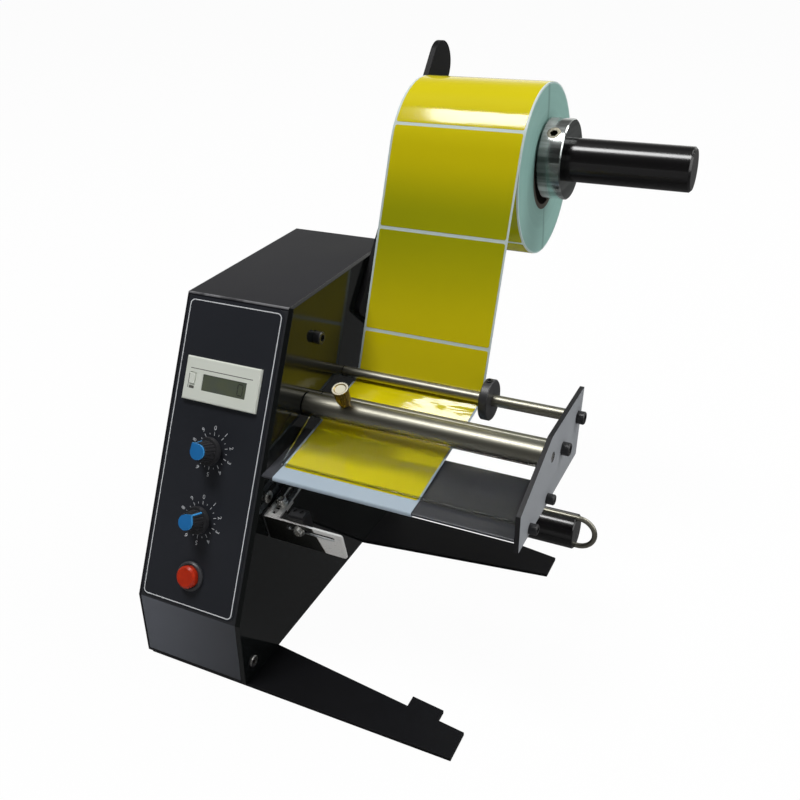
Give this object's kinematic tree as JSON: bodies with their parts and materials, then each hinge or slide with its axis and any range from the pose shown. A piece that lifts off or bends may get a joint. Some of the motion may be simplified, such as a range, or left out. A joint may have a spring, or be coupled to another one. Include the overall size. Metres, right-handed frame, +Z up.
{
  "type": "label dispenser machine",
  "caption": "Desk-top label dispenser: slanted control housing, tilted roll arm with spindle, peel plate with press flap, and driven liner rewind spindle.",
  "frame": {"origin": "bottom centre of the whole part's box, on the desk", "axes": "+X along the rollers away from the housing, +Y from the slanted control face to the back, +Z up"},
  "size_m": [0.2404, 0.287, 0.3024],
  "materials": {
    "black_powder": "satin powder coat",
    "gloss_black": "mirror gloss",
    "leg_black": "satin",
    "overlay_film": "matt film with a silver frame line and dial print",
    "counter_grey": "matt",
    "counter_glass": "gloss",
    "knob_black": "satin",
    "plate_black": "satin",
    "cap_blue": "gloss",
    "button_red": "gloss, lamp behind it",
    "switch_grey": "satin",
    "steel": "turned and polished",
    "chrome": "polished",
    "spindle_black": "gloss",
    "brass": "knurled",
    "arm_dark": "satin",
    "outer_grey": "satin face, dark edge",
    "label_paper": "gloss yellow labels on a pale blue liner",
    "liner_blue": "silicone-coated paper",
    "core_card": "wound card",
    "flap_clear": "clear acrylic sheet",
    "screw_black": "black oxide",
    "screw_bright": "bright zinc",
    "bracket_silver": "satin",
    "sensor_black": "matt",
    "board_green": "solder mask",
    "core_iron": "laminated, varnished",
    "gear_zinc": "die cast",
    "inlet_black": "matt",
    "bush_bronze": "sintered"
  },
  "bodies": {
    "machine": {"side_plate": "gloss_black", "cover": "black_powder", "front_panel": "black_powder", "base_plate": "black_powder", "panel_overlay": "overlay_film", "cover_screws": "screw_black", "rivet_nuts": "screw_bright", "front_leg": "leg_black", "rear_leg": "leg_black", "leg_screws": "screw_bright", "counter_case": "counter_grey", "counter_window": "counter_glass", "length_pot": "screw_bright", "speed_pot": "screw_bright", "switch_body": "switch_grey", "roll_arm": "arm_dark", "arm_screws": "screw_black", "supply_spindle": "spindle_black", "label_web": "liner_blue", "guide_rod": "steel", "web_rod": "steel", "press_shaft": "steel", "inner_screws": "screw_black", "peel_plate": "plate_black", "outer_plate": "outer_grey", "outer_screws": "screw_black", "spindle_bush": "bush_bronze", "gearbox": "gear_zinc", "drive_motor": "gear_zinc", "sensor_mount": "bracket_silver", "bracket_screw": "screw_bright", "control_board": "board_green", "board_standoffs": "screw_bright", "transformer": "core_iron", "power_inlet": "inlet_black", "fuse_holder": "inlet_black"},
    "counter_key": {"counter_key": "counter_grey"},
    "length_dial": {"length_knob": "knob_black", "length_cap": "cap_blue", "length_shaft": "steel"},
    "speed_dial": {"speed_knob": "knob_black", "speed_cap": "cap_blue", "speed_shaft": "steel"},
    "power_button": {"power_button": "button_red"},
    "roll": {"roll_core": "core_card", "label_roll": "label_paper"},
    "roll_collar": {"roll_collar": "chrome"},
    "roll_collar_screw": {"roll_collar_screw": "screw_black"},
    "guide_collar": {"guide_collar": "spindle_black"},
    "guide_collar_screw": {"guide_collar_screw": "screw_black"},
    "press_tube": {"press_tube": "steel", "press_flap": "flap_clear"},
    "thumb_screw": {"thumb_screw": "brass"},
    "rewind": {"rewind_spindle": "spindle_black", "wound_liner": "liner_blue", "drive_shaft": "steel"},
    "liner_clip": {"liner_clip": "chrome"},
    "sensor_bracket": {"sensor_bracket": "bracket_silver"},
    "sensor": {"sensor_body": "sensor_black", "sensor_screw": "screw_bright"}
  },
  "joints": [
    {"name": "counter_key_press", "type": "slide", "parent": "machine", "child": "counter_key", "axis": [0, 0.8819, -0.4715], "range_m": [0, 0.0007], "stiffness_N_per_m": 400, "springref_m": -0.0005},
    {"name": "length_dial_turn", "type": "hinge", "parent": "machine", "child": "length_dial", "pos_m": [-0.0875, -0.09951, 0.12133], "axis": [0, -0.8819, 0.4715], "range_deg": [-4, 320]},
    {"name": "speed_dial_turn", "type": "hinge", "parent": "machine", "child": "speed_dial", "pos_m": [-0.0875, -0.11766, 0.08737], "axis": [0, -0.8819, 0.4715], "range_deg": [-291, 33]},
    {"name": "power_button_press", "type": "slide", "parent": "machine", "child": "power_button", "axis": [0, 0.8819, -0.4715], "range_m": [0, 0.0025], "stiffness_N_per_m": 400, "springref_m": -0.0008},
    {"name": "roll_spin", "type": "hinge", "parent": "machine", "child": "roll", "pos_m": [-0.0048, 0.09043, 0.23792], "axis": [1, 0, 0], "continuous": true},
    {"name": "roll_collar_slide", "type": "slide", "parent": "machine", "child": "roll_collar", "axis": [1, 0, 0], "range_m": [0, 0.068]},
    {"name": "roll_collar_screw_turn", "type": "hinge", "parent": "roll_collar", "child": "roll_collar_screw", "pos_m": [0.0433, 0.09043, 0.24512], "axis": [0, -0.6157, 0.788], "range_deg": [0, 360]},
    {"name": "guide_collar_slide", "type": "slide", "parent": "machine", "child": "guide_collar", "axis": [1, 0, 0], "range_m": [-0.0015, 0.044]},
    {"name": "guide_collar_screw_turn", "type": "hinge", "parent": "guide_collar", "child": "guide_collar_screw", "pos_m": [0.0402, -0.01251, 0.1359], "axis": [0, 0, 1], "range_deg": [0, 360]},
    {"name": "press_flap_lift", "type": "hinge", "parent": "machine", "child": "press_tube", "pos_m": [0.0182, -0.05581, 0.136], "axis": [1, 0, 0], "range_deg": [-65, 0]},
    {"name": "thumb_screw_turn", "type": "hinge", "parent": "press_tube", "child": "thumb_screw", "pos_m": [-0.0258, -0.05581, 0.136], "axis": [0, -0.342, 0.9397], "range_deg": [0, 360]},
    {"name": "rewind_spin", "type": "hinge", "parent": "machine", "child": "rewind", "pos_m": [0.0232, -0.01791, 0.0649], "axis": [1, 0, 0], "continuous": true},
    {"name": "liner_clip_slide", "type": "slide", "parent": "rewind", "child": "liner_clip", "axis": [1, 0, 0], "range_m": [0, 0.075]},
    {"name": "sensor_bracket_slide", "type": "slide", "parent": "machine", "child": "sensor_bracket", "axis": [0, 0.9763, 0.2164], "range_m": [-0.0095, 0.002]},
    {"name": "sensor_slide", "type": "slide", "parent": "sensor_bracket", "child": "sensor", "axis": [1, 0, 0], "range_m": [-0.005, 0.019]}
  ],
  "couplings": [
    {"joint": "rewind_spin", "follows": "roll_spin", "ratio": -4.1037}
  ]
}
